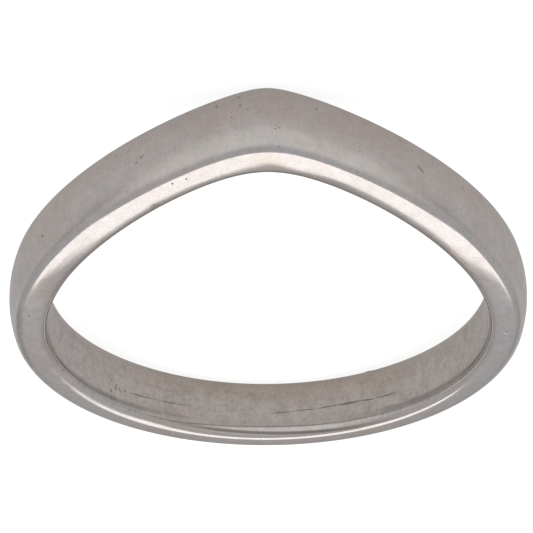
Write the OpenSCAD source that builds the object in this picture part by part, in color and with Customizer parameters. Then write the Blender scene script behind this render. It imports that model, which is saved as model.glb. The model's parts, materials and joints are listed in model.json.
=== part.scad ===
// Chevron ring: a plain band in one piece. Its front dips to a soft point,
// and both arms of the point bend back into the round of the ring.
// It lies on its side with the point down, and rests on the point and on the
// back of the same edge. The origin is on the floor under the ring's middle.

/* [Finger hole] */
// Inner diameter of the ring
inner_d = 17; // [14:0.1:23]

/* [Band width] */
// Width along the finger at the point
front_w = 3.1; // [2:0.05:4.5]
// Width along the finger at both sides
side_w = 2.7; // [1.8:0.05:4]
// Width along the finger at the back
back_w = 2.5; // [1.8:0.05:4]

/* [Wall thickness] */
// Thickness of the wall at the point
front_t = 1.8; // [1.2:0.05:2.6]
// Thickness of the wall at both sides
side_t = 1.45; // [1:0.05:2.2]
// Thickness of the wall at the back
back_t = 1.25; // [1:0.05:2]

/* [Chevron] */
// Depth of the chevron, from the line of the band to the middle of the point
point_depth = 2.55; // [0.5:0.05:4]
// Angle from the point to where each arm bends into the round
arm_angle = 45; // [30:1:65]
// Angle over which that bend is spread
bend_angle = 20; // [8:1:30]
// Angle that softens the outside of the point
tip_angle = 4.5; // [2:0.5:12]
// Angle that softens the crook at the edge of the finger hole
crook_angle = 13.5; // [4:0.5:20]
// Angle that softens the crook at the outer face, where it is sharper
shoulder_angle = 6; // [4:0.5:20]

/* [Faces and edges] */
// Rise of the outer face over its edges, at the front
front_crown = 0.3; // [0.05:0.01:0.5]
// Rise of the outer face over its edges, at the back
back_crown = 0.25; // [0.05:0.01:0.4]
// Rounding of the outer edges at the front
front_round = 0.5; // [0.2:0.05:0.8]
// Rounding of the outer edges at the back
back_round = 0.38; // [0.2:0.01:0.6]
// Rounding of both edges of the finger hole
inner_round = 0.38; // [0.2:0.01:0.6]
// Angle by which the rim between both roundings bends to either side, at the front
front_rim_bend = 5.5; // [1:0.5:12]
// The same angle at the back
back_rim_bend = 1; // [1:0.5:12]

/* [Hidden] */

inner_r = inner_d / 2;
metal = "#b4b0ad";

// Sections round the ring, and how much closer together they stand at the point
sections = 112;
crowding_angle = 30;
// Steps in each rounding, across the outer face and across the rim
round_steps = 4;
face_steps = 4;
rim_steps = 2;
// Angle at which the rounding of the hole's edge meets the wall of the hole
meet_angle = 25;
// The rounding stops this far outside the hole, and a chamfer runs on into it,
// so that the bore cuts a clean edge
edge_stop = 0.02;
chamfer = 0.25;
// Most of the wall that one rounding may take
round_share = 0.45;
// Length of the bore's cutter beyond the band on each side, and its facets when drawn
bore_overrun = 2;
bore_facets = 180;
// Rounds in which the lean of the resting ring is found
lean_rounds = 4;

// Angle of section i, from the point at -Y
function section_angle(i) = let (a = 360 * i / sections) a - crowding_angle * sin(a);

// The same angle counted from the point to either side, from 0 to 180
function off_point(a) = a > 180 ? 360 - a : a;

// A size that has one value at the point, one at the sides and one at the back
function around(front, side, back, a) =
    (front + 2 * side + back) / 4 + (front - back) / 2 * cos(a) + (front - 2 * side + back) / 4 * cos(2 * a);

// Dip of an edge in arm units: a straight arm, softened at the point and at the bend
function dip(a, soft) =
    ln(1 + exp((arm_angle - sqrt(off_point(a) * off_point(a) + soft * soft)) / bend_angle));

// Millimetres in one arm unit, and how much longer the tip is than the crook
dip_scale = 2 * point_depth / (dip(0, tip_angle) + dip(0, crook_angle));
tip_extra = dip_scale * (dip(0, tip_angle) - dip(0, crook_angle));

// How much lower the crook is at the outer face than at the hole
function shoulder(a) = dip_scale * (dip(a, shoulder_angle) - dip(a, crook_angle));

// Width, thickness, crown, outer rounding and bend of the rim at angle a
function band_w(a) = around(front_w - tip_extra, side_w, back_w, a);
function band_t(a) = around(front_t, side_t, back_t, a);
function crown(a) = around(front_crown, (front_crown + back_crown) / 2, back_crown, a);
function outer_round(a) = around(front_round, (front_round + back_round) / 2, back_round, a);
function rim_bend(a) = around(front_rim_bend, (front_rim_bend + back_rim_bend) / 2, back_rim_bend, a);

// Heights of the two edges: the tip is on the lower one, the crook on the upper one
function low_edge(a) = -band_w(a) / 2 - dip_scale * dip(a, tip_angle);
function high_edge(a) = band_w(a) / 2 - dip_scale * dip(a, crook_angle);

// Arc of points [r, z] about a centre, without its last point if last is 0
function arc(centre, radius, from, to, steps, last = 1) =
    [for (k = [0 : steps - 1 + last]) let (b = from + (to - from) * k / steps)
        centre + radius * [cos(b), sin(b)]];

// Closed outline of the band's section, as [r, z] with r from the bore and z from mid-width.
// The outer face and both rims are flat arcs, and arcs of the two roundings join them smoothly.
function outline(half_w, t, rise, round_out, round_in, bend) =
    let (
        rim_room = t - rise - (round_out + round_in) * (1 - sin(bend)),
        rim_drop = rim_room / 2 * tan(bend / 2),
        face_r = (half_w * half_w + rise * rise) / (2 * rise),
        out_z = half_w - rim_drop - round_out * cos(bend),
        turn = asin(out_z / (face_r - round_out)),
        out_x = t - face_r + (face_r - round_out) * cos(turn),
        in_x = round_in * cos(meet_angle),
        in_z = out_z + (round_out - round_in) * cos(bend),
        rim_r = (out_x - in_x + (round_out + round_in) * sin(bend)) / (2 * sin(bend)),
        rim_x = (out_x + in_x + (round_out - round_in) * sin(bend)) / 2,
        rim_z = out_z + (round_out - rim_r) * cos(bend),
        stop = acos((edge_stop - in_x) / round_in),
        wall_z = in_z + round_in * sin(stop) - chamfer
    )
    concat(
        arc([t - face_r, 0], face_r, -turn, turn, face_steps, 0),
        arc([out_x, out_z], round_out, turn, 90 - bend, round_steps, 0),
        arc([rim_x, rim_z], rim_r, 90 - bend, 90 + bend, rim_steps, 0),
        arc([in_x, in_z], round_in, 90 + bend, stop, round_steps),
        [[edge_stop - chamfer, wall_z], [edge_stop - chamfer, -wall_z]],
        arc([in_x, -in_z], round_in, 360 - stop, 270 - bend, round_steps, 0),
        arc([rim_x, -rim_z], rim_r, 270 - bend, 270 + bend, rim_steps, 0),
        arc([out_x, -out_z], round_out, 270 + bend, 360 - turn, round_steps, 0)
    );

// Section at angle a, placed round the axis of the hole
function section(a) =
    let (
        t = band_t(a),
        edge_wall = t - crown(a),
        out_r = min(outer_round(a), round_share * edge_wall, round_share * band_w(a)),
        in_r = min(inner_round, round_share * edge_wall, round_share * band_w(a)),
        mid_z = (low_edge(a) + high_edge(a)) / 2,
        half_w = (high_edge(a) - low_edge(a)) / 2
    )
    [for (p = outline(half_w, t, crown(a), out_r, in_r, rim_bend(a)))
        let (
            share = max(0, p[0] / t) * max(0, p[1] / half_w),
            z = mid_z + p[1] - share * shoulder(a)
        )
        [(inner_r + p[0]) * sin(a), -(inner_r + p[0]) * cos(a), z]];

section_list = [for (i = [0 : sections - 1]) section(section_angle(i))];
ring_points = [for (s = section_list) each s];
per_section = len(section_list[0]);

// Two triangles between neighbouring points of neighbouring sections
ring_faces = [
    for (i = [0 : sections - 1], j = [0 : per_section - 1])
        let (
            here = i * per_section,
            next = (i + 1) % sections * per_section,
            up = (j + 1) % per_section
        )
        each [[here + j, next + up, next + j], [here + j, here + up, next + up]]
];

// Point p after the ring has leaned back by the angle a
function leaned(p, a) = [p[0], p[1] * cos(a) + p[2] * sin(a), p[2] * cos(a) - p[1] * sin(a)];

// The point of a list that is lowest once the ring leans by the angle a
function lowest(points, a) =
    let (heights = [for (p = points) leaned(p, a)[2]])
    points[search(min(heights), heights)[0]];

front_points = [for (p = ring_points) if (p[1] < 0) p];
back_points = [for (p = ring_points) if (p[1] > 0) p];

// Lean at which the point and the back of the lower edge are level, from a first guess a
function rest_lean(a, rounds) = rounds <= 0 ? a :
    let (f = lowest(front_points, a), b = lowest(back_points, a))
    rest_lean(atan2(b[2] - f[2], b[1] - f[1]), rounds - 1);

lean = rest_lean(0, lean_rounds);
resting = [for (p = ring_points) leaned(p, lean)];
floor_z = min([for (p = resting) p[2]]);
middle_y = (min([for (p = resting) p[1]]) + max([for (p = resting) p[1]])) / 2;

// From the frame of the hole, +Z along its axis, to the ring at rest on the floor
module lay_down() {
    translate([0, -middle_y, -floor_z]) rotate([-lean, 0, 0]) children();
}

module band() {
    bore_h = high_edge(180) - low_edge(0) + 2 * bore_overrun;
    color(metal) lay_down() difference() {
        polyhedron(points = ring_points, faces = ring_faces);
        translate([0, 0, low_edge(0) - bore_overrun]) cylinder(h = bore_h, r = inner_r, $fn = bore_facets);
    }
}

band();
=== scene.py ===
"""The looks of a chevron ring: a worn white-metal band that lies on a pale floor, seen from the photograph's angle."""

import json
import math
from functools import reduce

import bpy
from mathutils import Matrix, Quaternion, Vector


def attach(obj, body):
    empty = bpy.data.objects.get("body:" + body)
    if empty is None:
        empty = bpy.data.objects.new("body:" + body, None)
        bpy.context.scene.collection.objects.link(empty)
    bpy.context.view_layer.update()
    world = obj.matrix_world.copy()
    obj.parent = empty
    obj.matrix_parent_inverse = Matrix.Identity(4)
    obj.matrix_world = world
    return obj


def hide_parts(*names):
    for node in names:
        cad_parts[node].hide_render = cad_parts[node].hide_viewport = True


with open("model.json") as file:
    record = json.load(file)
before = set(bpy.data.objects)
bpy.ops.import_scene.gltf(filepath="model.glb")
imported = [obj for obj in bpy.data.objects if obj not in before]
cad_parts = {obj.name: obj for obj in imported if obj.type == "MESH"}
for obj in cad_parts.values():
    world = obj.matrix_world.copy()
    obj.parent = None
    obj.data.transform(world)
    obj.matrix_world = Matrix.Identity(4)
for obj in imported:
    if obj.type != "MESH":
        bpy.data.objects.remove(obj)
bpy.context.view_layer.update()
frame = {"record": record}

MM = 0.001
MICROMETRE = 1e-6

# The finger hole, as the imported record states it
BORE = frame["record"]["mounts"][0]
HOLE_CENTRE = Vector(BORE["pos_m"])
HOLE_AXIS = Vector(BORE["axis"]).normalized()
HOLE_RADIUS = BORE["dims"]["r_mm"] * MM

# The photograph: its side and the hole's centre in pixels, and how the camera stands to the ring
PHOTO_SIDE = 533
HOLE_CENTRE_PX = (268.3, 308.3)
PIXELS_PER_M = 25960.0
CAMERA_DISTANCE = 0.2
CAMERA_OVER_RING = math.radians(28.0)
CAMERA_ROLL = math.radians(0.52)
NEAREST_SEEN = 10 * MM

# Sizes of the band, in metres and radians
BAND = {
    "Hole radius": HOLE_RADIUS,
    "Point width": 3.1 * MM,
    "Side width": 2.7 * MM,
    "Back width": 2.5 * MM,
    "Point wall": 1.8 * MM,
    "Side wall": 1.45 * MM,
    "Back wall": 1.25 * MM,
    "Chevron depth": 2.55 * MM,
    "Arm angle": math.radians(45),
    "Bend angle": math.radians(20),
    "Tip softening": math.radians(4.5),
    "Crook softening": math.radians(13.5),
    "Shoulder softening": math.radians(6),
    "Point crown": 0.3 * MM,
    "Back crown": 0.25 * MM,
    "Point rounding": 0.5 * MM,
    "Back rounding": 0.38 * MM,
    "Hole rounding": 0.38 * MM,
    "Point rounding depth": 0.38 * MM,
    "Side rounding depth": 0.33 * MM,
    "Back rounding depth": 0.52 * MM,
    "Hole edge": math.radians(2),
    "Point rim curve": math.radians(5.5),
    "Back rim curve": math.radians(1),
    "Crowding": math.radians(30),
    "Wave height": 0.004 * MM,
}

# The studio: how bright it is at the horizon, the floor as the camera and as the metal see it, and the lights
WHITE = (1.0, 1.0, 1.0, 1.0)
HORIZON_RADIANCE = 0.38
FLOOR_SIDE = 4.0
FLOOR_SEEN = (0.3, 0.3, 0.3, 1.0)
FLOOR_SEEN_GLOW = 0.86
FLOOR_IN_METAL = (0.2, 0.2, 0.2, 1.0)
FLOOR_IN_METAL_GLOW = 0.345
PANEL_DISTANCE = 0.4
# Both lights, as (up, aside, half width, half height, tilt, radiance)
SOFT_LIGHT = (
    math.radians(53.25), math.radians(1.0), math.radians(25.5), math.radians(17.75), math.radians(-5.5), 0.97,
)
FLOOR_LIGHT = (math.radians(80), 0.0, math.radians(37), math.radians(37), 0.0, 1.0)
# Lighter places in the studio, as (up, aside, inner angle, outer angle, radiance): the tent overhead, the pale front
# below the camera, the walls at both sides, and the glow beside the soft light
STUDIO_PATCHES = (
    (math.radians(90), 0.0, math.radians(66), math.radians(84), 0.5),
    (math.radians(170), 0.0, math.radians(34), math.radians(72), 0.74),
    (math.radians(12), math.radians(62), math.radians(6), math.radians(26), 0.46),
    (math.radians(20), math.radians(-66), math.radians(10), math.radians(34), 0.5),
    (math.radians(43), math.radians(-31), math.radians(3), math.radians(12), 0.52),
)

# The slow waves in the worn surface
WAVE_LENGTH = 2.2 * MM
WAVE_DETAIL = 1.0
WAVE_SEED = 4.0
# The band's mean radius and half the length of its section's outline, for places given by turn and across
MEAN_RADIUS = 9.2 * MM
HALF_SECTION = 4.0 * MM
# Dents, as (turn in degrees, place across the section, reach along the ring, reach over the section, depth);
# a burr and an edge that is left fuller have a negative depth
DENTS = (
    (27.0, 0.0, 0.22 * MM, 0.22 * MM, 0.018 * MM),
    (56.9, 0.07, 0.2 * MM, 0.2 * MM, 0.012 * MM),
    (6.5, -0.27, 0.16 * MM, 0.16 * MM, 0.018 * MM),
    (-10.0, -0.18, 0.14 * MM, 0.14 * MM, 0.012 * MM),
    (-34.2, -0.02, 0.17 * MM, 0.17 * MM, 0.016 * MM),
    (-46.4, -0.11, 0.15 * MM, 0.15 * MM, 0.014 * MM),
    (28.1, 0.58, 0.15 * MM, 0.15 * MM, 0.03 * MM),
    (-152.9, -0.64, 0.16 * MM, 0.14 * MM, -0.04 * MM),
    (161.0, 0.79, 0.9 * MM, 0.16 * MM, 0.010 * MM),
    (172.0, 0.8, 1.1 * MM, 0.14 * MM, 0.008 * MM),
    (-165.0, 0.8, 1.3 * MM, 0.14 * MM, 0.010 * MM),
    (-161.0, 0.72, 0.3 * MM, 0.3 * MM, 0.010 * MM),
    (-95.0, 0.5, 0.24 * MM, 0.24 * MM, 0.014 * MM),
    (123.0, 0.670, 3.2 * MM, 0.17 * MM, -0.038 * MM),
    (150.0, 0.665, 2.0 * MM, 0.17 * MM, -0.024 * MM),
    (-152.0, 0.640, 2.0 * MM, 0.17 * MM, 0.008 * MM),
    (-57.0, 0.600, 1.8 * MM, 0.3 * MM, -0.022 * MM),
)

# Scratches, as (turn in degrees and place across at one end, the same at the other end, half the width)
FRONT_SCRATCHES = (
    (79.0, 0.455, 79.9, 0.468, 0.022 * MM),
    (79.9, 0.468, 79.3, 0.484, 0.016 * MM),
    (57.4, 0.055, 56.5, 0.095, 0.045 * MM),
    (26.2, -0.020, 27.9, 0.012, 0.030 * MM),
    (27.9, 0.012, 28.6, 0.045, 0.026 * MM),
    (-33.2, -0.045, -35.0, 0.022, 0.034 * MM),
    (-17.6, 0.555, -16.8, 0.572, 0.030 * MM),
    (-46.2, -0.118, -46.7, -0.104, 0.030 * MM),
    (-88.7, 0.489, -89.5, 0.489, 0.080 * MM),
    (-89.1, 0.470, -89.1, 0.506, 0.070 * MM),
    (6.1, -0.232, 5.6, -0.226, 0.048 * MM),
    (5.7, -0.139, 5.2, -0.134, 0.050 * MM),
    (10.8, -0.206, 10.3, -0.199, 0.044 * MM),
    (-10.2, -0.162, -10.7, -0.158, 0.044 * MM),
    (7.4, -0.046, 7.0, -0.038, 0.034 * MM),
    (4.1, -0.086, 3.7, -0.080, 0.030 * MM),
    (-2.5, 0.106, -2.9, 0.118, 0.030 * MM),
    (-1.6, 0.122, -2.0, 0.132, 0.028 * MM),
    (-2.2, 0.318, -2.8, 0.318, 0.036 * MM),
    (31.4, 0.253, 31.0, 0.251, 0.036 * MM),
    (18.5, 0.446, 18.0, 0.446, 0.026 * MM),
    (21.6, 0.436, 21.1, 0.436, 0.038 * MM),
)
BACK_SCRATCHES = (
    (179.0, 0.912, 187.0, 0.942, 0.032 * MM),
    (185.0, 0.940, 194.0, 0.945, 0.036 * MM),
    (192.0, 0.944, 199.5, 0.962, 0.050 * MM),
    (197.0, 0.958, 206.5, 0.961, 0.072 * MM),
    (204.5, 0.962, 210.0, 0.943, 0.052 * MM),
    (208.5, 0.950, 217.4, 0.935, 0.040 * MM),
    (98.4, 0.700, 99.2, 0.742, 0.030 * MM),
    (99.8, 0.705, 100.5, 0.745, 0.024 * MM),
    (138.2, 0.900, 148.6, 0.930, 0.036 * MM),
    (147.0, 0.928, 159.0, 0.942, 0.026 * MM),
    (133.2, 0.955, 133.0, 0.982, 0.030 * MM),
    (134.8, 0.957, 134.4, 0.850, 0.034 * MM),
    (132.4, 0.880, 133.2, 0.815, 0.034 * MM),
    (135.4, 0.925, 136.9, 0.855, 0.032 * MM),
    (137.3, 0.922, 138.6, 0.895, 0.036 * MM),
)

# Colours of the white metal: cool, warm, yellowed, brown, painted sheen, bluish, greenish, and dirt with painted shade
COOL_METAL = (0.715, 0.66, 0.66, 1.0)
WARM_METAL = (0.68, 0.555, 0.52, 1.0)
YELLOW_METAL = (0.62, 0.55, 0.44, 1.0)
BROWN_METAL = (0.60, 0.475, 0.41, 1.0)
# The painted sheen: a lighter colour, a painted highlight over the ring's dark reflection of itself along the hole's
# edge
PAINTED_SHEEN_METAL = (0.94, 0.9, 0.88, 1.0)
BLUISH_METAL = (0.66, 0.64, 0.69, 1.0)
GREENISH_METAL = (0.61, 0.61, 0.56, 1.0)
# Dirt, painted shade and painted reflections share this dark colour
DIRT_AND_SHADE = (0.17, 0.14, 0.12, 1.0)

# Uneven patches over the metal, as (size, seed, detail)
PATCHES = {
    "broad tone": (1.7 * MM, 11.0, 2.0),
    "small tone": (0.4 * MM, 12.0, 2.0),
    "yellowed": (1.2 * MM, 13.0, 2.0),
    "smudges": (0.8 * MM, 14.0, 2.0),
    "dimples": (0.45 * MM, 15.0, 2.0),
    "grain": (0.12 * MM, 16.0, 1.0),
    "bluish": (2.4 * MM, 17.0, 2.0),
    "fine grime": (0.14 * MM, 18.0, 3.0),
    "broad grime": (0.45 * MM, 18.5, 2.0),
    "fine greenish": (0.13 * MM, 19.0, 3.0),
    "broad greenish": (0.6 * MM, 19.5, 2.0),
    "scratch waves": (1.1 * MM, 21.0, 2.0),
    "scratch gaps": (0.25 * MM, 22.0, 2.0),
    # How uneven the darkening along the hole's edge is
    "hole edge darkening": (0.5 * MM, 23.0, 2.0),
    # The waves of the painted shade in the corner of the hole's edge
    "corner shade waves": (0.7 * MM, 24.0, 2.0),
    "left stain": (0.7 * MM, 25.0, 2.0),
    "side stain": (0.6 * MM, 26.0, 2.0),
    "far edge": (0.7 * MM, 27.0, 2.0),
}
# Fine lines, as (fineness round the ring, fineness across the section, seed)
ROUND_LINES = (2.3, 22.0, 1.0)
CROSS_LINES = (115.0, 0.9, 2.0)
LINE_DETAIL = 2.0
# Pits of two sizes, as (spacing, largest radius, share of the places taken, seed), and how wide their slopes are
PITS = ((0.9 * MM, 0.055 * MM, 0.22, 31.0), (0.35 * MM, 0.03 * MM, 0.12, 32.0))
PIT_SLOPE = 0.6
# Keeps a place without a pit from dividing by 0
TINY = 0.0001
# How far the full depth of a scratch reaches towards its ends, and how steep its edges are
SCRATCH_FULLNESS = 1.6
SCRATCH_STEEPNESS = 1.4
# How far a scratch waves across the section, and how broken it is
SCRATCH_WAVE = 0.03
SCRATCH_GAP_CONTRAST = 1.4
SCRATCH_GAP_LEVEL = 0.3

# The side of the section with the crook's edge, over the place across, which is negative on the tip's side
HIGH_SIDE = (-0.01, 0.01)
# Stretches of the band, as (where it is 0, where it is full). Those over REACH run from 0 at the middle of the outer
# face to 1 at the middle of the hole's wall. Those over TURN run from 0 at the point to pi at the back, in radians,
# and a turn that is not the same on both sides is negative on the picture's right
FACE_REACH = (0.27, 0.18)
WALL_REACH = (0.735, 0.765)
POLISH_REACH = (0.31, 0.38)
SATIN_REACH = (0.7, 0.55)
SATIN_TURN = (1.05, 1.25)
SATIN_END_TURN = (1.9, 2.3)
FAR_WALL_REACH = (0.95, 0.72)
FAR_EDGE_REACH = (0.98, 0.76)
FAR_EDGE_TURN = (2.2, 2.7)
EDGE_DARKENING_REACH = (0.68, 0.73)
EDGE_DARKENING_END_REACH = (0.80, 0.75)
EDGE_DARKENING_TURN = (1.0, 1.5)
EDGE_DARKENING_BACK_TURN = (2.4, 2.8)
SIDE_LINE_TURN = (1.4, 1.65)
SIDE_LINE_END_TURN = (2.35, 1.95)
CORNER_TURN = (1.0, 1.35)
CORNER_POINT_TURN = (0.2, 0.04)
CORNER_SHIFT_TURN = (0.22, 0.0)
# Where the painted dark reflection along the back starts
BACK_LINE_TURN = (2.45, 2.9)
LEFT_STAIN_TURN = (1.2, 1.45)
LEFT_STAIN_END_TURN = (2.0, 1.8)
SIDE_STAIN_TURN = (0.8, 1.3)
POINT_STAIN_TURN = (0.1, 0.02)
# Where the painted sheen along the hole's edge starts, and where it fades at the back
PAINTED_SHEEN_TURN = (1.5, 1.7)
PAINTED_SHEEN_BACK_TURN = (2.5, 2.75)
DULLED_TURN = (1.9, 2.2)
DULLED_END_TURN = (2.75, 2.45)
# The warm colour of the point, over the cosine of the turn
FRONT_COSINE = (0.82, 1.0)
# Lines and spots, as (middle, how far off it ends, how far off it is still full), over the same two measures
SIDE_LINE = (0.743, 0.03, 0.006)
# CORNER is the painted shade in the corner of the hole's edge along the front
CORNER = (0.57, 0.055, 0.02)
LEFT_STAIN = (0.37, 0.07, 0.02)
# The painted shade that dims the left end of the highlight on the edge's flat, over reach and over turn
PAINTED_END_SHADE = (0.488, 0.045, 0.02)
PAINTED_END_SHADE_ROUND = (1.0, 0.2, 0.08)
POINT_STAIN = (0.475, 0.05, 0.015)
BLUISH_EDGE = (0.345, 0.055, 0.03)
RIGHT_RIM = (0.5, 0.14, 0.1)
RIGHT_RIM_ROUND = (-1.7, 0.55, 0.35)
# The painted sheen along the hole's edge, a painted highlight
PAINTED_SHEEN = (0.697, 0.032, 0.015)
# The dark line at the back, a painted reflection of something dark: its reach, its slant for each radian, both its
# widths, and the faint line beside it, a painted dark reflection of the ring in itself
BACK_LINE_REACH = 0.656
BACK_LINE_SLANT = 0.055
BACK_LINE_WIDTHS = (0.025, 0.008)
BESIDE_BACK_LINE = (0.07, 0.009, 0.002)
# The painted shade in the corner of the hole's edge: how far it waves and how far out it lies at the point, in reach,
# and how dark it is
CORNER_WAVE = 0.03
CORNER_SHIFT = 0.035
CORNER_DARKNESS = 0.42
CORNER_POINT_DARKNESS = 0.3
# The darkening along the hole's edge: how even it is, its share on the low side and what the high side adds, and what
# is gone at the back
EDGE_DARKENING_LEVEL = 0.4
EDGE_DARKENING_LOW = 0.1
EDGE_DARKENING_HIGH = 0.9
EDGE_DARKENING_BACK_LOSS = 0.8
# How dark each kind of dirt, mark, painted shade and painted reflection is at its most
DARKNESS = {
    "hole edge darkening": 0.6,
    "side line": 0.9,
    "back line": 0.8,
    "beside back line": 0.2,
    "left stain": 0.28,
    "side stain": 0.2,
    "painted end shade": 0.2,
    "scratches": 0.8,
    "pits": 0.5,
}
# Which part of the uneven patches shows in a stain or a tint, as (where it is 0, where it is full)
LEFT_STAIN_PATCHES = (0.35, 0.6)
SIDE_STAIN_PATCHES = (0.1, 0.7)
YELLOWED_PATCHES = (0.55, 0.72)
GREENISH_PATCHES = (0.4, 0.8)
# How strongly the bluish and the brown patches stand out, and what is left out of the bluish ones
BLUISH_CONTRAST = 2.0
BLUISH_LEVEL = 0.3
BROWN_CONTRAST = 2.2
# How much of the painted sheen along the hole's edge is gone at the back
PAINTED_SHEEN_BACK_LOSS = 0.85
# What makes the metal warmer, and how strong each tint is at its most
WARMTH = {"point": 0.25, "wall": 0.3, "far wall": 0.4, "broad tone": 1.5, "small tone": 1.0, "all over": 0.28}
TINT = {
    "bluish": 0.8,
    "yellow": 0.12,
    "yellow wall": 0.6,
    "point stain": 0.6,
    "brown": 0.9,
    "fine greenish": 0.8,
    "broad greenish": 0.4,
}
# Grime starts above these levels of its patches and of the lines across, and is this strong
GRIME_FROM = 0.42
GRIME_FROM_LINES = 0.45
GRIME = {"fine": 0.55, "broad": 0.4, "wall": 0.6, "lines": 0.3, "all over": 0.6}
# The roughness of the matt metal, what the polish takes from it, and what the other finishes change, and the dirt with
# the painted shade and the painted sheen
ROUGHNESS = {
    "matt": 0.27,
    "polish": 0.15,
    "satin": 0.08,
    "smudges": 0.14,
    "lines": 0.08,
    "dirt_and_shade": 0.2,
    "dulled": 0.07,
    "painted_sheen": 0.1,
}
# Heights of the relief in micrometres, and what the polish takes away from them
ROUND_LINE_HEIGHT = 1.2
ROUND_LINE_LOSS = 0.5
WALL_LINE_HEIGHT = 1.6
FACE_LINE_HEIGHT = 1.2
DIMPLE_HEIGHT = 3.5
DIMPLE_LOSS = 2.4
GRAIN_HEIGHT = 0.8
GRAIN_LOSS = 0.4
PIT_DEPTH = 8.0
SCRATCH_DEPTH = 10.0

# Vertices round the ring and across its section
AROUND = 440
ACROSS = 200
# Shares of half a section: half the outer face, its rounding, the flat of the edge, the hole's rounding, half its wall
SECTION_SHARES = (0.24, 0.19, 0.12, 0.19, 0.26)
# Where the crook's shoulder comes in, just above the middle of the outer face
SHOULDER_ACROSS = (0.0, 0.01)
# Vertices that lie closer together than this become one
MERGE = 1e-6


class Value:
    """A number that a node tree works out. Each sum, product or function of it adds one Math node."""

    def __init__(self, tree, socket):
        self.tree = tree
        self.socket = socket

    def math(self, operation, *others):
        node = self.tree.nodes.new("ShaderNodeMath")
        node.operation = operation
        for place, item in zip(node.inputs, (self,) + others):
            if isinstance(item, Value):
                self.tree.links.new(item.socket, place)
            else:
                place.default_value = item
        return Value(self.tree, node.outputs[0])

    def __add__(self, other):
        return self.math("ADD", other)

    def __sub__(self, other):
        return self.math("SUBTRACT", other)

    def __mul__(self, other):
        return self.math("MULTIPLY", other)

    def __truediv__(self, other):
        return self.math("DIVIDE", other)

    def __neg__(self):
        return self * -1.0

    __radd__ = __add__
    __rmul__ = __mul__

    def __rsub__(self, other):
        return -self + other

    def sin(self):
        return self.math("SINE")

    def cos(self):
        return self.math("COSINE")

    def asin(self):
        return self.math("ARCSINE")

    def tan(self):
        return self.math("TANGENT")

    def sqrt(self):
        return self.math("SQRT")

    def exp(self):
        return self.math("EXPONENT")

    def log(self):
        return self.math("LOGARITHM", math.e)

    def abs(self):
        return self.math("ABSOLUTE")

    def sign(self):
        return self.math("SIGN")

    def highest(self, other):
        return self.math("MAXIMUM", other)

    def wrapped(self, half):
        """The same place on a closed round, from -half to half."""
        return self.math("WRAP", half, -half)

    def portion(self, start, end):
        """0 before start, 1 after end, and a straight ramp between them."""
        ramp = (self - start) / (end - start)
        ramp.socket.node.use_clamp = True
        return ramp

    def clamped(self):
        """The same number, kept from 0 to 1."""
        return self.portion(0.0, 1.0)

    def near(self, middle, end, full):
        """1 as far as full from the middle, and 0 from end onwards."""
        return (self - middle).abs().portion(end, full)


def new_tree(name, kind, sockets):
    """A node tree with the named sockets, each as (name, direction, kind of socket)."""
    tree = bpy.data.node_groups.new(name, kind)
    for socket, direction, socket_kind in sockets:
        tree.interface.new_socket(socket, in_out=direction, socket_type=socket_kind)
    return tree, tree.nodes.new("NodeGroupInput"), tree.nodes.new("NodeGroupOutput")


def number_sockets(given, made):
    """The sockets of a group that takes the given numbers and makes one number."""
    return [(name, "INPUT", "NodeSocketFloat") for name in given] + [(made, "OUTPUT", "NodeSocketFloat")]


def after(tree, earlier, kind):
    """A new node that takes the geometry of an earlier one."""
    node = tree.nodes.new(kind)
    tree.links.new(earlier.outputs[0], node.inputs["Geometry"])
    return node


def around(front, side, back, turn):
    """A size that has one value at the point, one at the sides and one at the back."""
    even = (front + side * 2.0 + back) / 4.0
    lean = (front - back) / 2.0 * turn.cos()
    belly = (front - side * 2.0 + back) / 4.0 * (turn * 2.0).cos()
    return even + lean + belly


def dent_group():
    """Geometry Nodes group: how deep one dent is at a place on the band."""
    fields = ("Turn", "Across", "Dent turn", "Dent across", "Length", "Breadth", "Depth")
    tree, given, result = new_tree("dent", "GeometryNodeTree", number_sockets(fields, "Sunk"))
    turn, across, dent_turn, dent_across, length, breadth, depth = [Value(tree, given.outputs[f]) for f in fields]
    along = (turn - dent_turn).wrapped(math.pi) * MEAN_RADIUS / length
    over = (across - dent_across).wrapped(1.0) * HALF_SECTION / breadth
    spread = along * along + over * over
    tree.links.new((depth * (-spread).exp()).socket, result.inputs["Sunk"])
    return tree


def evenly(name, size, turn):
    """A named size that changes evenly from the point to the back."""
    front, back = size["Point " + name], size["Back " + name]
    return around(front, (front + back) / 2.0, back, turn)


def dip(size, angle, softening):
    """How far an edge dips at an angle from the point, in arm units: a straight arm, softened at both its ends."""
    off = (angle * angle + size[softening] * size[softening]).sqrt()
    return (((size["Arm angle"] - off) / size["Bend angle"]).exp() + 1.0).log()


def band_edges(size, turn):
    """Heights of the tip's edge and of the crook's edge, and the length of one arm unit."""
    at_point = turn * 0.0
    tip_dip = dip(size, at_point, "Tip softening")
    crook_dip = dip(size, at_point, "Crook softening")
    arm_unit = size["Chevron depth"] * 2.0 / (tip_dip + crook_dip)
    point_width = size["Point width"] - arm_unit * (tip_dip - crook_dip)
    width = around(point_width, size["Side width"], size["Back width"], turn)
    low = width / -2.0 - arm_unit * dip(size, turn, "Tip softening")
    high = width / 2.0 - arm_unit * dip(size, turn, "Crook softening")
    return low, high, arm_unit


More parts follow.
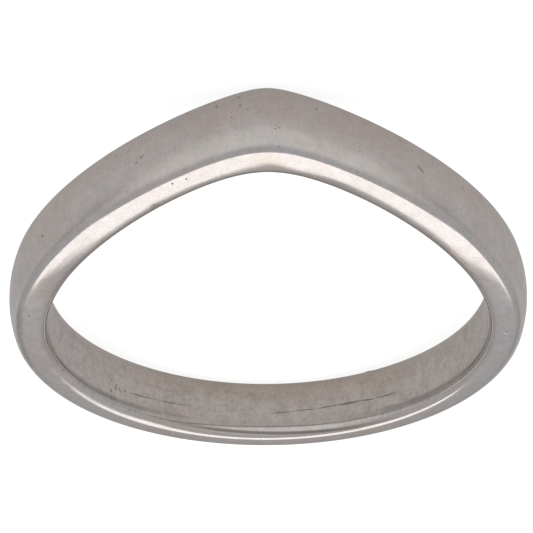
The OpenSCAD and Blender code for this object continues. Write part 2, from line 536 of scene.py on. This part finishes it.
def section_place(size, turn, reach, wall, half):
    """Distance from the hole and height over mid-width of a place on half a section, which is as wide as half says."""
    crown = evenly("crown", size, turn)
    rounding = evenly("rounding", size, turn)
    rim_curve = evenly("rim curve", size, turn)
    hole_rounding = size["Hole rounding"]
    depths = [size[place + " rounding depth"] for place in ("Point", "Side", "Back")]
    hole_depth = around(*depths, turn)
    rim_room = wall - crown - (rounding + hole_rounding) * (1.0 - rim_curve.sin())
    rim_drop = rim_room / 2.0 * (rim_curve / 2.0).tan()
    face_radius = (half * half + crown * crown) / (crown * 2.0)
    face_end = ((half - rim_drop - rounding * rim_curve.cos()) / (face_radius - rounding)).asin()
    # The reach at which each stretch of the section ends
    ends = [sum(SECTION_SHARES[: i + 1]) for i in range(len(SECTION_SHARES))]
    face_part = reach.portion(0.0, ends[0]) * face_end
    corner = face_end + reach.portion(ends[0], ends[1]) * (math.pi / 2 - rim_curve - face_end)
    rim_part = (reach.portion(ends[1], ends[2]) * 2.0 - 1.0) * rim_curve
    hole_start = rim_curve * hole_rounding / hole_depth
    hole_turn = hole_start + reach.portion(ends[2], ends[3]) * (math.pi / 2 - size["Hole edge"] - hole_start)
    bore_part = reach.portion(ends[3], ends[4])
    out_r = wall - face_radius + (face_radius - rounding) * face_end.cos() + rounding * rim_curve.sin()
    in_r = hole_rounding * (size["Hole edge"].cos() - hole_start.sin())
    rim_radius = (out_r - in_r) / (rim_curve.sin() * 2.0)
    bore_z = (
        (face_radius - rounding) * face_end.sin() + rounding * rim_curve.cos()
        + hole_depth * (size["Hole edge"].sin() - hole_start.cos())
    )
    # Each stretch adds its own way from where the last one ended
    radial = (
        wall + face_radius * (face_part.cos() - 1.0) + rounding * (corner.cos() - face_end.cos())
        - rim_radius * (rim_part.sin() + rim_curve.sin()) - hole_rounding * (hole_turn.sin() - hole_start.sin())
    )
    height = (
        face_radius * face_part.sin() + rounding * (corner.sin() - face_end.sin())
        + rim_radius * (rim_part.cos() - rim_curve.cos()) + hole_depth * (hole_turn.cos() - hole_start.cos())
        - bore_part * bore_z
    )
    return radial, height


def bent_place(tree, size, turn, across):
    """Where a place of the flat grid lies once the grid is bent into the band, round the axis of the hole."""
    low, high, arm_unit = band_edges(size, turn)
    wall = around(size["Point wall"], size["Side wall"], size["Back wall"], turn)
    half = (high - low) / 2.0
    middle = (high + low) / 2.0
    radial, height = section_place(size, turn, across.abs(), wall, half)
    # The crook is sharper at the outer face than at the hole
    sharper = dip(size, turn, "Crook softening") - dip(size, turn, "Shoulder softening")
    shoulder = across.portion(*SHOULDER_ACROSS) * arm_unit * sharper * (radial / wall) * (height / half)
    radius = size["Hole radius"] + radial
    shaped = tree.nodes.new("ShaderNodeCombineXYZ")
    tree.links.new((radius * turn.sin()).socket, shaped.inputs["X"])
    tree.links.new((-(radius * turn.cos())).socket, shaped.inputs["Y"])
    tree.links.new((middle + height * across.sign() + shoulder).socket, shaped.inputs["Z"])
    return shaped.outputs[0]


def all_dents(tree, turn, across):
    """How deep all dents together are at a place on the band."""
    one_dent = dent_group()
    fields = ("Dent across", "Length", "Breadth", "Depth")
    depths = []
    for dent_turn, *sizes in DENTS:
        dent = tree.nodes.new("GeometryNodeGroup")
        dent.node_tree = one_dent
        tree.links.new(turn.socket, dent.inputs["Turn"])
        tree.links.new(across.socket, dent.inputs["Across"])
        dent.inputs["Dent turn"].default_value = math.radians(dent_turn)
        for field, value in zip(fields, sizes):
            dent.inputs[field].default_value = value
        depths.append(Value(tree, dent.outputs["Sunk"]))
    return reduce(Value.__add__, depths)


def wear_offset(tree, wave_height, sunk):
    """Wear: slow waves over the whole surface, and the dents, both along the normal."""
    wave = tree.nodes.new("ShaderNodeTexNoise")
    wave.noise_dimensions = "4D"
    wave.inputs["W"].default_value = WAVE_SEED
    wave.inputs["Scale"].default_value = 1.0 / WAVE_LENGTH
    wave.inputs["Detail"].default_value = WAVE_DETAIL
    tree.links.new(tree.nodes.new("GeometryNodeInputPosition").outputs[0], wave.inputs["Vector"])
    rise = (Value(tree, wave.outputs[0]) - 0.5) * wave_height * 2.0 - sunk
    push = tree.nodes.new("ShaderNodeVectorMath")
    push.operation = "SCALE"
    tree.links.new(tree.nodes.new("GeometryNodeInputNormal").outputs[0], push.inputs[0])
    tree.links.new(rise.socket, push.inputs["Scale"])
    return push.outputs["Vector"]


def band_tree():
    """Geometry Nodes: a grid whose one side runs round the ring and whose other side runs round its section."""
    sockets = [("Geometry", "OUTPUT", "NodeSocketGeometry")]
    sockets += [(name, "INPUT", "NodeSocketFloat") for name in BAND]
    sockets += [("Centre", "INPUT", "NodeSocketVector"), ("Lean", "INPUT", "NodeSocketVector")]
    sockets += [("Metal", "INPUT", "NodeSocketMaterial")]
    tree, given, result = new_tree("chevron band", "GeometryNodeTree", sockets)
    size = {name: Value(tree, given.outputs[name]) for name in BAND}
    nodes, link = tree.nodes, tree.links.new

    grid = nodes.new("GeometryNodeMeshGrid")
    grid.inputs["Size X"].default_value = 1.0
    grid.inputs["Size Y"].default_value = 1.0
    grid.inputs["Vertices X"].default_value = AROUND + 1
    grid.inputs["Vertices Y"].default_value = ACROSS + 1
    place = nodes.new("ShaderNodeSeparateXYZ")
    link(nodes.new("GeometryNodeInputPosition").outputs[0], place.inputs[0])
    # Round the ring, from the back over the point to the back again, closer together at the point
    steady = Value(tree, place.outputs["X"]) * math.tau
    turn = steady - size["Crowding"] * steady.sin()
    # Across the section, from the wall of the hole over the outer face and back
    across = Value(tree, place.outputs["Y"]) * 2.0

    # The material reads the UV map, so it is kept while the grid is still flat, and so are the dents
    mapped = after(tree, grid, "GeometryNodeStoreNamedAttribute")
    mapped.data_type = "FLOAT2"
    mapped.domain = "CORNER"
    mapped.inputs["Name"].default_value = "UVMap"
    link(grid.outputs["UV Map"], mapped.inputs["Value"])
    kept = after(tree, mapped, "GeometryNodeCaptureAttribute")
    kept.capture_items.new("FLOAT", "Sunk")
    link(all_dents(tree, turn, across).socket, kept.inputs["Sunk"])

    bent = after(tree, kept, "GeometryNodeSetPosition")
    link(bent_place(tree, size, turn, across), bent.inputs["Position"])
    merged = after(tree, bent, "GeometryNodeMergeByDistance")
    merged.inputs["Distance"].default_value = MERGE
    worn = after(tree, merged, "GeometryNodeSetPosition")
    link(wear_offset(tree, size["Wave height"], Value(tree, kept.outputs["Sunk"])), worn.inputs["Offset"])
    smooth = after(tree, worn, "GeometryNodeSetShadeSmooth")
    laid = after(tree, smooth, "GeometryNodeTransform")
    link(given.outputs["Centre"], laid.inputs["Translation"])
    link(given.outputs["Lean"], laid.inputs["Rotation"])
    real = after(tree, laid, "GeometryNodeRealizeInstances")
    coated = after(tree, real, "GeometryNodeSetMaterial")
    link(given.outputs["Metal"], coated.inputs["Material"])
    link(coated.outputs["Geometry"], result.inputs["Geometry"])
    return tree


def made_by(tree, name, values):
    """A plain mesh object that a Geometry Nodes tree makes from the given values."""
    carrier = bpy.data.objects.new(name, bpy.data.meshes.new(name))
    bpy.context.scene.collection.objects.link(carrier)
    modifier = carrier.modifiers.new("shape", "NODES")
    modifier.node_group = tree
    for item in tree.interface.items_tree:
        if item.item_type == "SOCKET" and item.in_out == "INPUT":
            modifier[item.identifier] = values[item.name]
    evaluated = carrier.evaluated_get(bpy.context.evaluated_depsgraph_get())
    mesh = bpy.data.meshes.new_from_object(evaluated)
    carrier.modifiers.clear()
    carrier.data = mesh
    mesh.name = name
    return carrier


def placed(nodes, group, values):
    """A group node in a material, with its named inputs linked or set."""
    node = nodes.new("ShaderNodeGroup")
    node.node_tree = group
    for name, item in values.items():
        if isinstance(item, Value):
            item.tree.links.new(item.socket, node.inputs[name])
        else:
            node.inputs[name].default_value = item
    return node


def place_group():
    """Shader group: where on the band a point lies, from the UV map, as turn and place across."""
    sockets = [("Turn", "OUTPUT", "NodeSocketFloat"), ("Across", "OUTPUT", "NodeSocketFloat")]
    tree, _, result = new_tree("place on the band", "ShaderNodeTree", sockets)
    chart = tree.nodes.new("ShaderNodeUVMap")
    chart.uv_map = "UVMap"
    split = tree.nodes.new("ShaderNodeSeparateXYZ")
    tree.links.new(chart.outputs["UV"], split.inputs[0])
    steady = (Value(tree, split.outputs["X"]) - 0.5) * math.tau
    turn = steady - steady.sin() * BAND["Crowding"]
    across = (Value(tree, split.outputs["Y"]) - 0.5) * 2.0
    tree.links.new(turn.socket, result.inputs["Turn"])
    tree.links.new(across.socket, result.inputs["Across"])
    return tree


def lines_group():
    """Shader group: fine lines that run round the ring or across the band, without a seam."""
    fields = ("Turn", "Across", "Per turn", "Per section", "Seed")
    tree, given, result = new_tree("fine lines", "ShaderNodeTree", number_sockets(fields, "Height"))
    turn, across, per_turn, per_section, seed = [Value(tree, given.outputs[name]) for name in fields]
    over = across * math.pi
    spot = tree.nodes.new("ShaderNodeCombineXYZ")
    tree.links.new((turn.cos() * per_turn + seed).socket, spot.inputs["X"])
    tree.links.new((turn.sin() * per_turn).socket, spot.inputs["Y"])
    tree.links.new((over.cos() * per_section).socket, spot.inputs["Z"])
    grain = tree.nodes.new("ShaderNodeTexNoise")
    grain.noise_dimensions = "4D"
    grain.inputs["Scale"].default_value = 1.0
    grain.inputs["Detail"].default_value = LINE_DETAIL
    tree.links.new(spot.outputs[0], grain.inputs["Vector"])
    tree.links.new((over.sin() * per_section).socket, grain.inputs["W"])
    tree.links.new(grain.outputs[0], result.inputs["Height"])
    return tree


def seeded_place(tree, given, size_name):
    """The Object coordinates, counted in units of the named size and moved by the seed."""
    spot = tree.nodes.new("ShaderNodeVectorMath")
    spot.operation = "MULTIPLY_ADD"
    tree.links.new(tree.nodes.new("ShaderNodeTexCoord").outputs["Object"], spot.inputs[0])
    tree.links.new(Value(tree, given.outputs[size_name]).math("POWER", -1.0).socket, spot.inputs[1])
    tree.links.new(given.outputs["Seed"], spot.inputs[2])
    return spot.outputs["Vector"]


def blotch_group():
    """Shader group: soft uneven patches of one size, in Object coordinates."""
    fields = ("Size", "Detail", "Seed")
    tree, given, result = new_tree("blotches", "ShaderNodeTree", number_sockets(fields, "Amount"))
    patches = tree.nodes.new("ShaderNodeTexNoise")
    patches.inputs["Scale"].default_value = 1.0
    tree.links.new(seeded_place(tree, given, "Size"), patches.inputs["Vector"])
    tree.links.new(given.outputs["Detail"], patches.inputs["Detail"])
    tree.links.new(patches.outputs[0], result.inputs["Amount"])
    return tree


def pit_group():
    """Shader group: small round pits of uneven size, with only a share of the places taken."""
    fields = ("Spacing", "Radius", "Share", "Seed")
    tree, given, result = new_tree("pits", "ShaderNodeTree", number_sockets(fields, "Pit"))
    spacing, radius, share = [Value(tree, given.outputs[name]) for name in fields[:3]]
    cells = tree.nodes.new("ShaderNodeTexVoronoi")
    cells.inputs["Scale"].default_value = 1.0
    tree.links.new(seeded_place(tree, given, "Spacing"), cells.inputs["Vector"])
    chance = tree.nodes.new("ShaderNodeSeparateColor")
    tree.links.new(cells.outputs["Color"], chance.inputs[0])
    size = Value(tree, chance.outputs[0]).portion(1.0 - share, 1.0) * radius / spacing
    pit = ((size - Value(tree, cells.outputs["Distance"])) / (size * PIT_SLOPE + TINY)).clamped()
    tree.links.new(pit.socket, result.inputs["Pit"])
    return tree


def scratch_group():
    """Shader group: a scratch that tapers to both ends. Each vector turns a place into its share of the scratch."""
    sockets = [("Place", "INPUT", "NodeSocketVector"), ("Lengthwise", "INPUT", "NodeSocketVector")]
    sockets += [("Sideways", "INPUT", "NodeSocketVector"), ("Scratch", "OUTPUT", "NodeSocketFloat")]
    tree, given, result = new_tree("scratch", "ShaderNodeTree", sockets)
    shares = []
    for way in ("Lengthwise", "Sideways"):
        share = tree.nodes.new("ShaderNodeVectorMath")
        share.operation = "DOT_PRODUCT"
        tree.links.new(given.outputs["Place"], share.inputs[0])
        tree.links.new(given.outputs[way], share.inputs[1])
        shares.append(Value(tree, share.outputs["Value"]))
    along, aside = shares
    depth = (1.0 - along * along) * SCRATCH_FULLNESS - aside.abs() * SCRATCH_STEEPNESS
    tree.links.new(depth.clamped().socket, result.inputs["Scratch"])
    return tree


def scratch_shares(from_turn, from_across, to_turn, to_across, half_width, base_turn):
    """The vectors that give how far a place (along, over, 1) lies along a scratch and beside it."""
    start = (math.radians(from_turn - base_turn) * MEAN_RADIUS, from_across * HALF_SECTION)
    end = (math.radians(to_turn - base_turn) * MEAN_RADIUS, to_across * HALF_SECTION)
    middle = ((start[0] + end[0]) / 2, (start[1] + end[1]) / 2)
    half = ((end[0] - start[0]) / 2, (end[1] - start[1]) / 2)
    reach = math.hypot(*half)
    lengthwise = (half[0] / reach**2, half[1] / reach**2)
    sideways = (-half[1] / reach / half_width, half[0] / reach / half_width)
    offsets = [-way[0] * middle[0] - way[1] * middle[1] for way in (lengthwise, sideways)]
    return (*lengthwise, offsets[0]), (*sideways, offsets[1])


class Surface:
    """The band's surface as its material sees it: places on it, stretches of it, and patterns over it."""

    def __init__(self, tree):
        self.tree = tree
        self.lines = lines_group()
        self.blotches = blotch_group()
        self.pits = pit_group()
        place = placed(tree.nodes, place_group(), {})
        self.turn = Value(tree, place.outputs["Turn"])
        self.across = Value(tree, place.outputs["Across"])
        self.reach = self.across.abs()
        self.off_point = self.turn.abs()
        self.high_side = self.across.portion(*HIGH_SIDE)
        self.face = self.reach.portion(*FACE_REACH)
        self.wall = self.reach.portion(*WALL_REACH)
        self.polish = self.reach.portion(*POLISH_REACH) * (1.0 - self.wall)

    def pattern(self, group, values, made):
        """The number that a group makes from the given values."""
        return Value(self.tree, placed(self.tree.nodes, group, values).outputs[made])

    def patch(self, name):
        """Uneven patches of one of the kinds in PATCHES."""
        size, seed, detail = PATCHES[name]
        return self.pattern(self.blotches, {"Size": size, "Detail": detail, "Seed": seed}, "Amount")

    def fine_lines(self, per_turn, per_section, seed):
        """Fine lines, round the ring or across it."""
        values = {"Per turn": per_turn, "Per section": per_section, "Seed": seed}
        return self.pattern(self.lines, {"Turn": self.turn, "Across": self.across, **values}, "Height")

    def pitted(self, spacing, radius, share, seed):
        """Pits of one size."""
        values = {"Spacing": spacing, "Radius": radius, "Share": share, "Seed": seed}
        return self.pattern(self.pits, values, "Pit")

    def mixed(self, share, first, second):
        """A share of the second colour in the first one, each of them a socket or plain numbers."""
        node = self.tree.nodes.new("ShaderNodeMix")
        node.data_type = "RGBA"
        self.tree.links.new(share.socket, node.inputs["Factor"])
        for place_in, item in (("A", first), ("B", second)):
            if isinstance(item, tuple):
                node.inputs[place_in].default_value = item
            else:
                self.tree.links.new(item, node.inputs[place_in])
        return node.outputs["Result"]


def all_scratches(band):
    """Scratches, a little wavy and broken, seen from the point or from the back, whichever is nearer."""
    tree = band.tree
    scratch = scratch_group()
    wavy_over = (band.across + (band.patch("scratch waves") - 0.5) * SCRATCH_WAVE) * HALF_SECTION
    scratches = []
    for base_turn, marks in ((0.0, FRONT_SCRATCHES), (180.0, BACK_SCRATCHES)):
        along = (band.turn - math.radians(base_turn)).wrapped(math.pi) * MEAN_RADIUS
        spot = tree.nodes.new("ShaderNodeCombineXYZ")
        tree.links.new(along.socket, spot.inputs["X"])
        tree.links.new(wavy_over.socket, spot.inputs["Y"])
        spot.inputs["Z"].default_value = 1.0
        for mark in marks:
            lengthwise, sideways = scratch_shares(*mark, base_turn)
            node = placed(tree.nodes, scratch, {"Lengthwise": lengthwise, "Sideways": sideways})
            tree.links.new(spot.outputs[0], node.inputs["Place"])
            scratches.append(Value(tree, node.outputs["Scratch"]))
    unbroken = (band.patch("scratch gaps") * SCRATCH_GAP_CONTRAST + SCRATCH_GAP_LEVEL).clamped()
    return reduce(Value.highest, scratches) * unbroken


def hole_edge_darkening(band):
    """Darker along the edge of the hole, less so at the back and on the low side."""
    dirt_and_shade = band.reach.portion(*EDGE_DARKENING_REACH) * band.reach.portion(*EDGE_DARKENING_END_REACH)
    at_back = band.off_point.portion(*EDGE_DARKENING_BACK_TURN)
    dirt_and_shade = dirt_and_shade * band.off_point.portion(*EDGE_DARKENING_TURN) * (1.0 - at_back * EDGE_DARKENING_BACK_LOSS)
    uneven = (band.patch("hole edge darkening") + EDGE_DARKENING_LEVEL).clamped()
    return dirt_and_shade * uneven * (band.high_side * EDGE_DARKENING_HIGH + EDGE_DARKENING_LOW)


def side_line(band):
    """The dark line at the hole's edge, along both sides."""
    line = band.reach.near(*SIDE_LINE) * band.off_point.portion(*SIDE_LINE_TURN)
    return line * band.off_point.portion(*SIDE_LINE_END_TURN) * band.high_side


def painted_corner_shade(band):
    """Painted shade: the dark corner of the hole's edge along the front, darkest at the point, where it lies further
    out.
    """
    uneven = (band.patch("corner shade waves") - 0.5) * CORNER_WAVE
    shift = uneven + band.off_point.portion(*CORNER_SHIFT_TURN) * CORNER_SHIFT
    dirt_and_shade = (band.reach + shift).near(*CORNER) * (1.0 - band.off_point.portion(*CORNER_TURN))
    return dirt_and_shade * (band.off_point.portion(*CORNER_POINT_TURN) * CORNER_POINT_DARKNESS + CORNER_DARKNESS)


def painted_back_reflection(band):
    """Painted reflections: the dark line along the back, which slants over the hole's edge, and the faint line beside
    it, both painted dark.
    """
    middle = BACK_LINE_REACH - (band.turn - math.pi).wrapped(math.pi) * BACK_LINE_SLANT
    off_line = band.reach - middle
    line = off_line.abs().portion(*BACK_LINE_WIDTHS) * DARKNESS["back line"]
    beside = off_line.near(*BESIDE_BACK_LINE) * DARKNESS["beside back line"]
    return line.highest(beside) * band.off_point.portion(*BACK_LINE_TURN) * band.high_side


def left_stain(band):
    """An uneven stain along the outer edge of the left side."""
    stain = band.reach.near(*LEFT_STAIN) * band.turn.portion(*LEFT_STAIN_TURN)
    stain = stain * band.turn.portion(*LEFT_STAIN_END_TURN)
    return stain * band.patch("left stain").portion(*LEFT_STAIN_PATCHES) * band.high_side


def dirt_and_painted_shade(band, scratches, pits):
    """How dark a place is: as dark as the darkest of the dirt, the marks, the painted shade and the painted
    reflections there.
    """
    side_stain = band.face * band.off_point.portion(*SIDE_STAIN_TURN)
    side_stain = side_stain * band.patch("side stain").portion(*SIDE_STAIN_PATCHES)
    # Painted shade that dims the left end of the highlight on the edge's flat
    painted_end_shade = band.turn.near(*PAINTED_END_SHADE_ROUND) * band.reach.near(*PAINTED_END_SHADE) * band.high_side
    kinds = (
        hole_edge_darkening(band) * DARKNESS["hole edge darkening"],
        side_line(band) * DARKNESS["side line"],
        # Painted shade in the corner of the hole's edge
        painted_corner_shade(band),
        # The painted dark reflections at the back
        painted_back_reflection(band),
        left_stain(band) * DARKNESS["left stain"],
        side_stain * DARKNESS["side stain"],
        painted_end_shade * DARKNESS["painted end shade"],
        scratches * DARKNESS["scratches"],
        pits * DARKNESS["pits"],
    )
    return reduce(Value.highest, kinds)


def painted_sheen_edge(band):
    """Painted sheen: a lighter colour along the hole's edge at both sides, and less of it at the back, a painted
    highlight.
    """
    edge = band.reach.near(*PAINTED_SHEEN) * band.off_point.portion(*PAINTED_SHEEN_TURN) * band.high_side
    return edge * (1.0 - band.off_point.portion(*PAINTED_SHEEN_BACK_TURN) * PAINTED_SHEEN_BACK_LOSS)


def warmth(band):
    """How warm the metal's colour is: most in the hole and at the point, and uneven all over."""
    front = band.turn.cos().portion(*FRONT_COSINE)
    far_wall = band.reach.portion(*FAR_WALL_REACH) * (1.0 - band.high_side)
    places = band.face * front * WARMTH["point"] + band.wall * WARMTH["wall"] + far_wall * WARMTH["far wall"]
    places = places + (band.patch("broad tone") - 0.5) * WARMTH["broad tone"]
    places = places + (band.patch("small tone") - 0.5) * WARMTH["small tone"]
    return (places + WARMTH["all over"]).clamped()


def tints(band, painted_sheen):
    """The tints over the cool and warm metal, from the lowest to the uppermost, as (share, colour), the painted sheen
    among them.
    """
    right_rim = band.turn.near(*RIGHT_RIM_ROUND) * band.reach.near(*RIGHT_RIM)
    bluish = band.reach.near(*BLUISH_EDGE).highest(right_rim)
    bluish = bluish * (band.patch("bluish") * BLUISH_CONTRAST - BLUISH_LEVEL).clamped()
    point_stain = band.off_point.portion(*POINT_STAIN_TURN) * band.reach.near(*POINT_STAIN)
    yellowed = band.patch("yellowed").portion(*YELLOWED_PATCHES) * (band.wall * TINT["yellow wall"] + TINT["yellow"])
    far_edge = band.reach.portion(*FAR_EDGE_REACH) * (1.0 - band.high_side) * band.off_point.portion(*FAR_EDGE_TURN)
    brown = far_edge * (band.patch("far edge") * BROWN_CONTRAST).clamped()
    fine_greenish = band.patch("fine greenish").portion(*GREENISH_PATCHES) * TINT["fine greenish"]
    broad_greenish = band.patch("broad greenish").portion(*GREENISH_PATCHES) * TINT["broad greenish"]
    return (
        (bluish * TINT["bluish"], BLUISH_METAL),
        (yellowed.highest(point_stain * TINT["point stain"]), YELLOW_METAL),
        (brown * TINT["brown"], BROWN_METAL),
        (painted_sheen, PAINTED_SHEEN_METAL),
        (fine_greenish + broad_greenish, GREENISH_METAL),
    )


def grime(band, cross_lines):
    """Grime in the pores of the metal, more of it in the hole."""
    fine = (band.patch("fine grime") - GRIME_FROM) * (GRIME["fine"] + band.wall * GRIME["wall"])
    broad = (band.patch("broad grime") - GRIME_FROM) * (GRIME["broad"] + band.wall * GRIME["wall"])
    in_lines = (cross_lines - GRIME_FROM_LINES) * GRIME["lines"] * (band.face + band.wall)
    return (fine + broad + in_lines).clamped()


def roughness(band, round_lines, dirt_and_shade, painted_sheen):
    """Matt faces and polished edges, less polished on the sides, uneven from smudges, lines, dirt and painted shade,
    rougher at the painted sheen.
    """
    satin = band.off_point.portion(*SATIN_TURN) * (1.0 - band.off_point.portion(*SATIN_END_TURN))
    satin = satin * band.reach.portion(*SATIN_REACH)
    gloss = band.polish * (ROUGHNESS["polish"] - satin * ROUGHNESS["satin"])
    matt = ROUGHNESS["matt"] - gloss + (band.patch("smudges") - 0.5) * ROUGHNESS["smudges"]
    matt = matt + (round_lines - 0.5) * ROUGHNESS["lines"] + dirt_and_shade * ROUGHNESS["dirt_and_shade"]
    dulled = band.turn.portion(*DULLED_TURN) * band.turn.portion(*DULLED_END_TURN) * band.polish * ROUGHNESS["dulled"]
    return (matt + (dulled + painted_sheen * ROUGHNESS["painted_sheen"])).clamped()


def relief(band, round_lines, cross_lines, pits, scratches):
    """The relief of the surface, in micrometres. The polish takes a part of it away."""
    return (
        round_lines * (ROUND_LINE_HEIGHT - band.polish * ROUND_LINE_LOSS)
        + cross_lines * (band.wall * WALL_LINE_HEIGHT + band.face * FACE_LINE_HEIGHT)
        + band.patch("dimples") * (DIMPLE_HEIGHT - band.polish * DIMPLE_LOSS)
        + band.patch("grain") * (GRAIN_HEIGHT - band.polish * GRAIN_LOSS)
        - pits * PIT_DEPTH - scratches * SCRATCH_DEPTH
    )


def worn_metal():
    """Worn white metal: matt and blotched faces, polished edges, painted shade in the corners, painted reflections and
    sheen at the hole.
    """
    material = bpy.data.materials.new("worn white metal")
    material.use_nodes = True
    nodes, link = material.node_tree.nodes, material.node_tree.links.new
    shader = nodes["Principled BSDF"]
    band = Surface(material.node_tree)
    scratches = all_scratches(band)
    pits = reduce(Value.highest, [band.pitted(*sizes) for sizes in PITS])
    round_lines = band.fine_lines(*ROUND_LINES)
    cross_lines = band.fine_lines(*CROSS_LINES)
    # Dirt, scratches and pits, with painted shade and painted dark reflections, all darken the colour below
    dirt_and_shade = dirt_and_painted_shade(band, scratches, pits)
    # A painted highlight: the lighter colour along the hole's edge stands in for light in the ring's dark reflection
    # of itself
    painted_sheen = painted_sheen_edge(band)

    colour = band.mixed(warmth(band), COOL_METAL, WARM_METAL)
    for share, tint in tints(band, painted_sheen):
        colour = band.mixed(share, colour, tint)
    colour = band.mixed(grime(band, cross_lines) * GRIME["all over"], colour, DIRT_AND_SHADE)
    # The painted shade and painted reflections darken the colour here along with the dirt and marks
    colour = band.mixed(dirt_and_shade, colour, DIRT_AND_SHADE)
    link(colour, shader.inputs["Base Color"])
    shader.inputs["Metallic"].default_value = 1.0
    link(roughness(band, round_lines, dirt_and_shade, painted_sheen).socket, shader.inputs["Roughness"])

    bump = nodes.new("ShaderNodeBump")
    bump.inputs["Distance"].default_value = MICROMETRE
    link(relief(band, round_lines, cross_lines, pits, scratches).socket, bump.inputs["Height"])
    link(bump.outputs["Normal"], shader.inputs["Normal"])
    return material


def build_band():
    """The ring in one piece, which stands for the band of the part."""
    lean = math.atan2(HOLE_AXIS.y, HOLE_AXIS.z)
    values = dict(BAND)
    values["Centre"] = tuple(HOLE_CENTRE)
    values["Lean"] = (-lean, 0.0, 0.0)
    values["Metal"] = worn_metal()
    band = made_by(band_tree(), "chevron_band", values)
    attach(band, "root")
    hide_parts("band")


def add_camera():
    """The camera at the photograph's angle, turned so that the point of the ring is at the top of the picture."""
    to_side = Vector((1.0, 0.0, 0.0))
    to_front = to_side.cross(HOLE_AXIS)
    sight = to_front * math.cos(CAMERA_OVER_RING) + HOLE_AXIS * math.sin(CAMERA_OVER_RING)
    spot = HOLE_CENTRE + sight * CAMERA_DISTANCE
    picture_right = -to_side
    picture_up = sight.cross(picture_right)
    turned_right = picture_right * math.cos(CAMERA_ROLL) - picture_up * math.sin(CAMERA_ROLL)
    turned_up = picture_right * math.sin(CAMERA_ROLL) + picture_up * math.cos(CAMERA_ROLL)
    focal_px = PIXELS_PER_M * CAMERA_DISTANCE
    data = bpy.data.cameras.new("camera")
    data.sensor_fit = "HORIZONTAL"
    data.angle = 2 * math.atan(PHOTO_SIDE / 2 / focal_px)
    data.shift_x = (PHOTO_SIDE / 2 - HOLE_CENTRE_PX[0]) / PHOTO_SIDE
    data.shift_y = (HOLE_CENTRE_PX[1] - PHOTO_SIDE / 2) / PHOTO_SIDE
    data.clip_start = NEAREST_SEEN
    camera = bpy.data.objects.new("camera", data)
    axes = Matrix((turned_right, turned_up, sight)).transposed()
    camera.matrix_world = Matrix.Translation(spot) @ axes.to_4x4()
    bpy.context.scene.collection.objects.link(camera)
    bpy.context.scene.camera = camera


def build_floor():
    """A pale floor. The metal sees it darker than the camera does, as the photograph's metal mirrors a grey studio."""
    bpy.ops.mesh.primitive_plane_add(size=FLOOR_SIDE)
    floor = bpy.context.object
    floor.name = "floor"
    material = bpy.data.materials.new("pale floor")
    material.use_nodes = True
    nodes, link = material.node_tree.nodes, material.node_tree.links.new
    shader = nodes["Principled BSDF"]
    shader.inputs["Roughness"].default_value = 1.0
    shader.inputs["Specular IOR Level"].default_value = 0.0
    shader.inputs["Emission Color"].default_value = WHITE
    ray = nodes.new("ShaderNodeLightPath")
    glow = nodes.new("ShaderNodeMix")
    glow.inputs["A"].default_value = FLOOR_IN_METAL_GLOW
    glow.inputs["B"].default_value = FLOOR_SEEN_GLOW
    link(ray.outputs["Is Camera Ray"], glow.inputs["Factor"])
    link(glow.outputs["Result"], shader.inputs["Emission Strength"])
    shade = nodes.new("ShaderNodeMix")
    shade.data_type = "RGBA"
    shade.inputs["A"].default_value = FLOOR_IN_METAL
    shade.inputs["B"].default_value = FLOOR_SEEN
    link(ray.outputs["Is Camera Ray"], shade.inputs["Factor"])
    link(shade.outputs["Result"], shader.inputs["Base Color"])
    floor.data.materials.append(material)


def studio_direction(up, aside):
    """A direction by its angle from the horizon behind the ring, over the top, and its angle to the side."""
    return Vector((math.sin(aside), math.cos(aside) * math.cos(up), math.cos(aside) * math.sin(up)))


def add_panel(name, up, aside, half_width, half_height, tilt, radiance, in_metal=True):
    """A flat soft light of a given width and height in angles, aimed at the ring and tilted in its own plane."""
    direction = studio_direction(up, aside)
    width = 2 * PANEL_DISTANCE * math.tan(half_width)
    height = 2 * PANEL_DISTANCE * math.tan(half_height)
    data = bpy.data.lights.new(name, "AREA")
    data.shape = "RECTANGLE"
    data.size = width
    data.size_y = height
    data.energy = radiance * math.pi * width * height
    light = bpy.data.objects.new(name, data)
    light.location = HOLE_CENTRE + direction * PANEL_DISTANCE
    light.rotation_mode = "QUATERNION"
    light.rotation_quaternion = direction.to_track_quat("Z", "Y") @ Quaternion((0.0, 0.0, 1.0), tilt)
    light.visible_glossy = in_metal
    bpy.context.scene.collection.objects.link(light)


def add_light():
    """A grey studio, the soft light that the ring mirrors, and a light for the floor alone."""
    world = bpy.data.worlds.new("studio")
    world.use_nodes = True
    nodes, link = world.node_tree.nodes, world.node_tree.links.new
    nodes["Background"].inputs["Color"].default_value = WHITE
    seen_way = nodes.new("ShaderNodeTexCoord").outputs["Generated"]
    brightness = None
    for up, aside, inner, outer, radiance in STUDIO_PATCHES:
        towards = nodes.new("ShaderNodeVectorMath")
        towards.operation = "DOT_PRODUCT"
        towards.inputs[1].default_value = studio_direction(up, aside)
        link(seen_way, towards.inputs[0])
        patch = nodes.new("ShaderNodeMapRange")
        patch.interpolation_type = "SMOOTHSTEP"
        patch.inputs["From Min"].default_value = math.cos(outer)
        patch.inputs["From Max"].default_value = math.cos(inner)
        link(towards.outputs["Value"], patch.inputs["Value"])
        blend = nodes.new("ShaderNodeMix")
        link(patch.outputs["Result"], blend.inputs["Factor"])
        if brightness is None:
            blend.inputs["A"].default_value = HORIZON_RADIANCE
        else:
            link(brightness, blend.inputs["A"])
        blend.inputs["B"].default_value = radiance
        brightness = blend.outputs["Result"]
    link(brightness, nodes["Background"].inputs["Strength"])
    bpy.context.scene.world = world
    add_panel("soft light", *SOFT_LIGHT)
    add_panel("floor light", *FLOOR_LIGHT, in_metal=False)


add_camera()
build_band()
build_floor()
add_light()
bpy.context.scene.view_settings.view_transform = "Standard"
